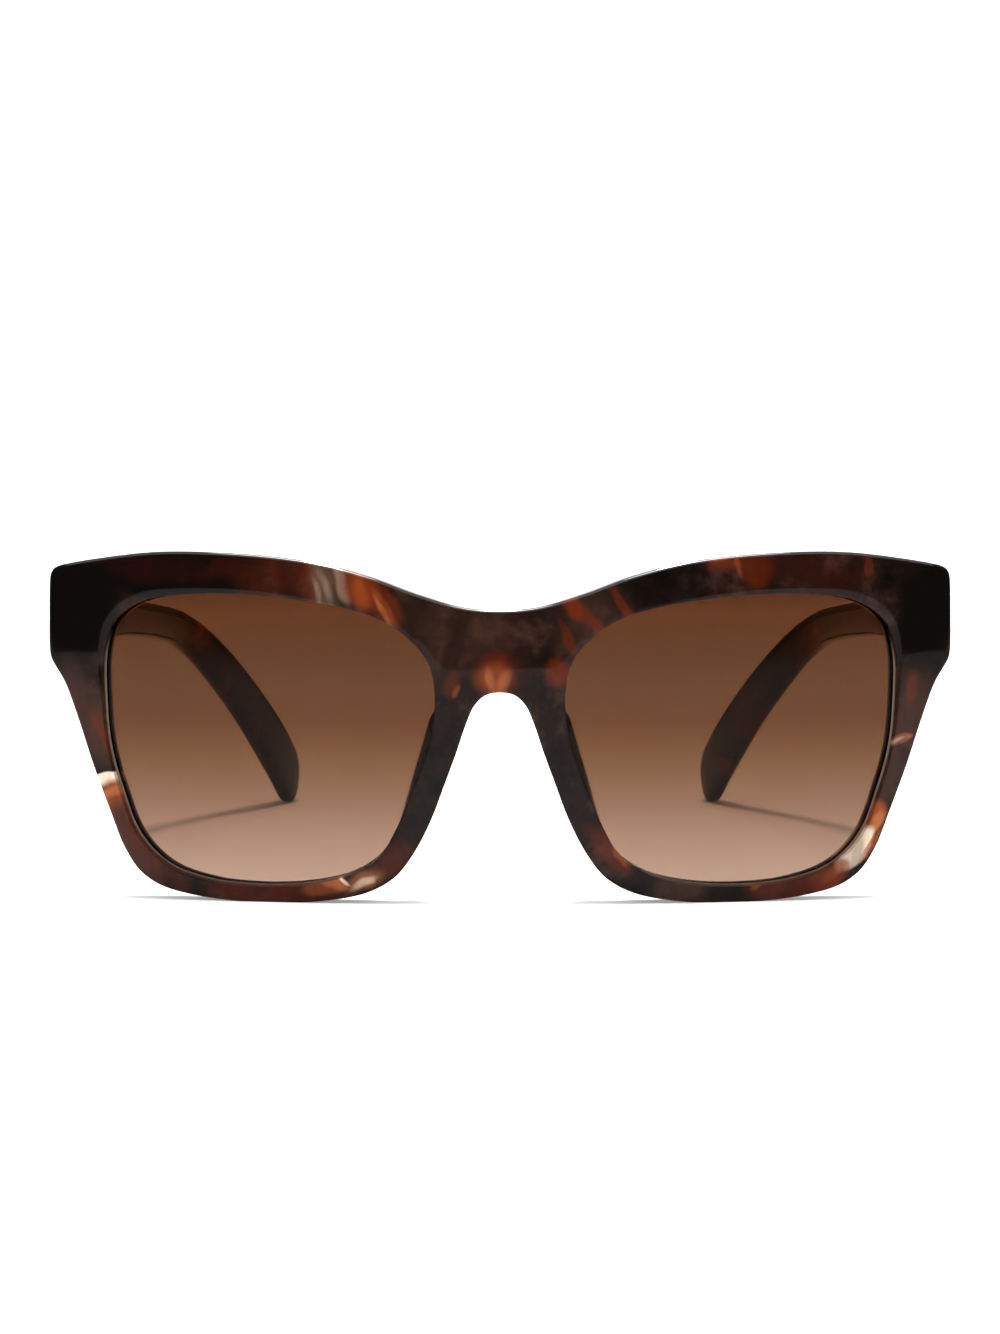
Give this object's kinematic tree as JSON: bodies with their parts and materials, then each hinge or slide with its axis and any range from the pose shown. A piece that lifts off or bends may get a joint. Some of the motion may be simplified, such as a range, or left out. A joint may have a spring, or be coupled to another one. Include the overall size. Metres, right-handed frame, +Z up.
{
  "type": "sunglasses",
  "caption": "Cat eye sunglasses: a thick glossy tortoise front with upswept end pieces, brown gradient lenses, bonded nose pads and temples that fold on barrel hinges.",
  "frame": {"origin": "on the surface the glasses stand on, at the middle of the footprint", "axes": "+Z up, -Y the way the front faces, +Y towards the ear tips, +X towards the wearer's left"},
  "size_m": [0.1454, 0.14, 0.0562],
  "materials": {
    "acetate": "polished dark tortoiseshell acetate",
    "lens_tint": "brown gradient tint, darker at the top",
    "hinge_steel": "satin nickel"
  },
  "bodies": {
    "front": {"front_frame": "acetate", "lens_left": "lens_tint", "lens_right": "lens_tint", "nose_pad_left": "acetate", "nose_pad_right": "acetate", "hinge_front_leaf_left": "hinge_steel", "hinge_front_leaf_right": "hinge_steel", "hinge_screw_left": "hinge_steel", "hinge_screw_right": "hinge_steel"},
    "left_temple": {"temple_left": "acetate", "core_wire_left": "hinge_steel", "hinge_temple_leaf_left": "hinge_steel"},
    "right_temple": {"temple_right": "acetate", "core_wire_right": "hinge_steel", "hinge_temple_leaf_right": "hinge_steel"}
  },
  "joints": [
    {"name": "left_temple_fold", "type": "hinge", "parent": "front", "child": "left_temple", "pos_m": [0.0653, -0.05386, 0.0476], "axis": [0, 0, 1], "range_deg": [0, 80]},
    {"name": "right_temple_fold", "type": "hinge", "parent": "front", "child": "right_temple", "pos_m": [-0.0653, -0.05386, 0.0476], "axis": [0, 0, -1], "range_deg": [0, 75]}
  ]
}
